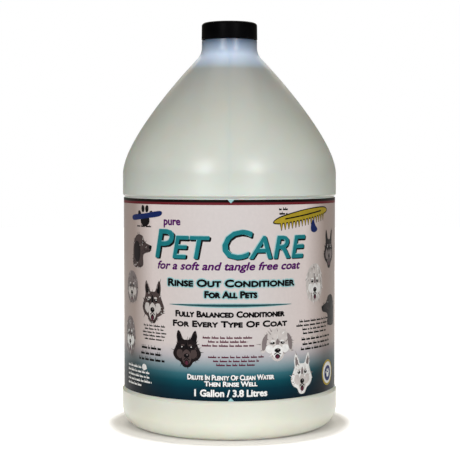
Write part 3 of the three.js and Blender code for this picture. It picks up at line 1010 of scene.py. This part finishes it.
def label_print():
    sheet = Print()
    # Top corners: a paw crossed by a ribbon on the left, a comb and a drop on the right
    paw(sheet, "black", (-66, 122.5), 15, 1)
    sheet.shape("blue", curve_through([(-81, 120), (-66, 121.5), (-51, 123.5), (-50.5, 127),
                                       (-66, 125), (-81.5, 123.5)]), 2)
    sheet.small_type("black", (-79, 115, -56, 117.4), 1, 3)
    comb(sheet, 35, 114.5, 44, 10)
    sheet.small_type("black", (33, 124, 43, 130), 2, 4)
    sheet.shape("blue", curve_through([(63, 113), (67, 112), (70, 114), (67.5, 117), (65, 121),
                                       (62.6, 117)]), 3)
    # Title and subtitle
    sheet.words("purple", "pure", (-47.6, 115.8, -34, 121.5), bold=0.3)
    title = (-55, 95, 57, 115)
    for ink, lift, bold, shift in (("black", 1, 0.7, (0.7, -0.7)),
                                   ("teal_pale", 2, 0.5, (-0.35, 0.35)),
                                   ("teal", 3, 0.3, (0, 0))):
        sheet.words(ink, "Pet Care", title, lift, bold, 0.18, True, shift)
    sheet.words("purple", "for a soft and tangle free coat", (-53, 86, 52, 93.4), 1, 0.28, 0.25)
    for text, box in (("Rinse Out Conditioner", (-44, 76.4, 47, 81.8)),
                      ("For All Pets", (-17, 69, 19, 74))):
        halo = tuple(np.array(box) + (-0.8, -0.8, 0.8, 0.8))
        sheet.words("teal_pale", text, halo, 1, 1.3, 0, True)
        sheet.words("black", text, box, 2, 0.42, 0, True)
    # Rule with tapered ends
    for ink, thin, lift in (("teal_pale", 1, 1), ("slate", 0.62, 2), ("teal_dark", 0.25, 3)):
        sheet.shape(ink, curve_through([(-43, 64.2), (0, 64.2 + 1.6 * thin), (45, 64.2),
                                        (0, 64.2 - 1.6 * thin)], steps=8), lift)
    for text, box in (("Fully Balanced Conditioner", (-38, 56, 39, 60.6)),
                      ("For Every Type Of Coat", (-40, 49.4, 41, 54))):
        sheet.words("black", text, box, 1, 0.34, 0, True)
    # Small type
    for block in (
            ("maroon", (-21, 36, 19, 44), 3, 5), ("maroon", (-16, 23, 25, 31), 3, 6),
            ("black", (-71, 38, -43, 49.5), 5, 7), ("black", (-74, 23, -46, 35), 3, 8),
            ("black", (47, 42, 90, 53), 4, 9), ("black", (50, 31, 92, 41), 3, 10)):
        sheet.small_type(*block)
    # Foot of the label
    for text, box in (("Dilute In Plenty Of Clean Water", (-29, 14, 31, 17.8)),
                      ("Then Rinse Well", (-17, 9.8, 19, 13.4))):
        sheet.words("black", text, box, 1, 0.4, 0, True, (0.4, -0.4))
        sheet.words("white", text, box, 2, 0.22, 0, True)
    sheet.words("white", "1 Gallon / 3.8 Litres", (-24, 2.8, 26, 7.8), 1, 0.28)
    sheet.small_type("white", (-91, 4.5, -57, 20), 5, 11, False)
    sheet.oval("white", (-67, 19), (2.6, 2.2))
    sheet.oval("yellow", (85.5, 13), (9, 9))
    sheet.oval("white", (85.5, 13), (7.6, 7.6), 2)
    sheet.oval("blue", (85.5, 12.6), (5.4, 5.4), 3)
    paw(sheet, "white", (85.5, 12.4), 6, 4)
    top = LABEL_HEIGHT
    sheet.shape("teal_pale", [(-1.2, top), (1, top - 2.4), (3.2, top)])
    sheet.shape("teal_pale", [(-1.2, 0), (3.2, 0), (1, 2.4)])
    # Heads
    for head in (
            (PROFILE, (-84, 88, -59, 111), "fur_brown", "fur_dark", "fur_pale", 21),
            (LONG_HAIR, (-94, 62, -74, 85), "fur_grey", "fur_brown", "fur_pale", 22),
            (PRICK_EARS, (-69, 50, -47, 79), "fur_brown", "black", "fur_pale", 23),
            (LONG_HAIR, (-97, 26, -78, 53), "fur_grey", "fur_brown", "white", 24),
            (PRICK_EARS, (-40, 22, -19, 47), "fur_dark", "black", "fur_brown", 25),
            (PRICK_EARS, (79, 86, 97, 113), "fur_dark", "black", "fur_grey", 26),
            (LONG_HAIR, (57, 64, 77, 91), "fur_pale", "fur_grey", "white", 27),
            (PROFILE, (76, 46, 102, 68), "fur_dark", "black", "fur_brown", 28, -1),
            (HANGING_EARS, (21, 26, 46, 49), "fur_pale", "fur_grey", "white", 29),
            (PRICK_EARS, (44, 2, 64, 30), "white", "fur_grey", "fur_pale", 30)):
        dog_head(sheet, *head)
    # Side panels, past what the front shows
    for side in (-1, 1):
        for n, (foot, rows) in enumerate(((100, 7), (68, 8), (42, 6))):
            u = 118 if side > 0 else -222
            sheet.bar("teal_dark", u, foot + 3.4 * rows + 0.6, 46, 2.8)
            sheet.small_type("black", (u, foot, u + 104, foot + 3.4 * rows), rows,
                             40 + 3 * side + n, False)
    chance = random.Random(50)
    sheet.bar("white", 176, 8, 44, 26)
    u = 179
    while u < 215:
        width = chance.choice((0.5, 0.5, 1, 1.5))
        sheet.bar("black", u, 10, width, 22, 2)
        u += width + chance.choice((0.5, 0.8, 1.2))
    sheet.make()


# ==== Stage, lights and camera ====

def white_glow(name, painted_shadow_middle=False):
    """A near-white surface that glows, or one that glows only at the table's rim, its dim middle a
    painted shadow round the jug's foot.
    """
    shader = Shader(name, Emission_Strength=FLOOR_GLOW, Specular_IOR_Level=0.1, Roughness=0.9)
    shader.colour(shader.mottled(3, 2, (0.86, 0.86, 0.86, 1), (0.88, 0.88, 0.88, 1)))
    shader.surface.inputs["Emission Color"].default_value = WHITE
    if painted_shadow_middle:
        # Glow fading out towards the middle: painted shadow round the jug's foot.
        x, y = shader.axis(0), shader.axis(1)
        radius = shader.math("SQRT", shader.math("ADD", shader.math("MULTIPLY", x, x),
                                                 shader.math("MULTIPLY", y, y)))
        fade = shader.node("ShaderNodeMapRange", interpolation_type="SMOOTHSTEP")
        shader.link(radius, fade.inputs["Value"])
        for label, value in (("From Min", TABLE_RADIUS - TABLE_RIM), ("From Max", TABLE_RADIUS),
                             ("To Min", 0), ("To Max", FLOOR_GLOW)):
            fade.inputs[label].default_value = value
        shader.link(fade.outputs[0], shader.surface.inputs["Emission Strength"])
    return shader.material


def stage():
    """A white floor that casts no light on the jug, a small table on it that takes the jug's
    shadow and whose glow fades out under the jug into a painted shadow round its foot, and a white
    dome that only the camera sees."""
    floor = disc("floor", FLOOR_RADIUS, -6 * MM, -0.2 * MM)
    floor.visible_diffuse = False
    table = disc("table", TABLE_RADIUS, -0.1 * MM, 0)
    floor.data.materials.append(white_glow("floor_white"))
    table.data.materials.append(white_glow("table_white_painted_shadow", painted_shadow_middle=True))
    dome_line = [(DOME_RADIUS * math.sin(a), DOME_RADIUS * math.cos(a))
                 for a in np.linspace(math.pi, 0, 25)]
    dome_line[0], dome_line[-1] = (0, -DOME_RADIUS), (0, DOME_RADIUS)
    dome = lathe("backdrop", dome_line, 96)
    material = bpy.data.materials.new("backdrop_white")
    material.use_nodes = True
    tree = material.node_tree
    glow = tree.nodes.new("ShaderNodeEmission")
    glow.inputs["Strength"].default_value = 1.0
    tree.links.new(glow.outputs[0], tree.nodes["Material Output"].inputs["Surface"])
    dome.data.materials.append(material)
    for kind in ("diffuse", "glossy", "transmission", "shadow", "volume_scatter"):
        setattr(dome, "visible_" + kind, False)


def softbox(name, azimuth, elevation, distance, width, height, power, colour=(1, 1, 1)):
    """An area light aimed at the middle of the jug; azimuth 0 is the camera's side."""
    data = bpy.data.lights.new(name, "AREA")
    data.shape = "RECTANGLE"
    data.size, data.size_y = width, height
    data.energy = power
    data.color = colour
    light = placed(name, data)
    a, e = math.radians(azimuth), math.radians(elevation)
    aim = Vector((0, 0, LIGHT_AIM))
    light.location = aim + distance * Vector((math.sin(a) * math.cos(e),
                                              -math.cos(a) * math.cos(e), math.sin(e)))
    light.rotation_euler = (aim - light.location).to_track_quat("-Z", "Y").to_euler()
    light.visible_camera = False
    return light


def lights():
    softbox("key_left", -27, 18, 1.7, 0.34, 0.9, 14.2)
    softbox("key_right", 27, 18, 1.7, 0.34, 0.9, 12.6)
    softbox("fill_top", 0, 80, 1.6, 1.4, 1.4, 9, (1, 0.95, 0.86))
    softbox("fill_back", 180, 35, 1.8, 1.6, 1.0, 10, (1, 0.95, 0.86))
    world = bpy.data.worlds.new("studio")
    world.use_nodes = True
    sky = world.node_tree.nodes["Background"].inputs
    sky["Color"].default_value = (1, 0.92, 0.70, 1)
    sky["Strength"].default_value = 0.18
    bpy.context.scene.world = world


def camera():
    """A view square on to the label, from level with the upper body, looking slightly down."""
    data = bpy.data.cameras.new("camera")
    data.sensor_width = 36
    data.lens = 104.8
    data.shift_y = -0.06
    data.clip_end = 20
    obj = placed("camera", data)
    obj.location = CAMERA_PLACE
    obj.rotation_euler = (math.pi / 2 - CAMERA_TILT, 0, 0)
    bpy.context.scene.camera = obj
    view = bpy.context.scene.view_settings
    view.view_transform = "Standard"
    view.look = "None"


# ==== Everything together ====

hdpe = hdpe_material()
jug_shell(hdpe)
parting_line(hdpe)
liquid_body(liquid_material())
screw_cap(cap_material())
liner(liner_material())
wrap_label(label_material())
label_print()
stage()
lights()
camera()
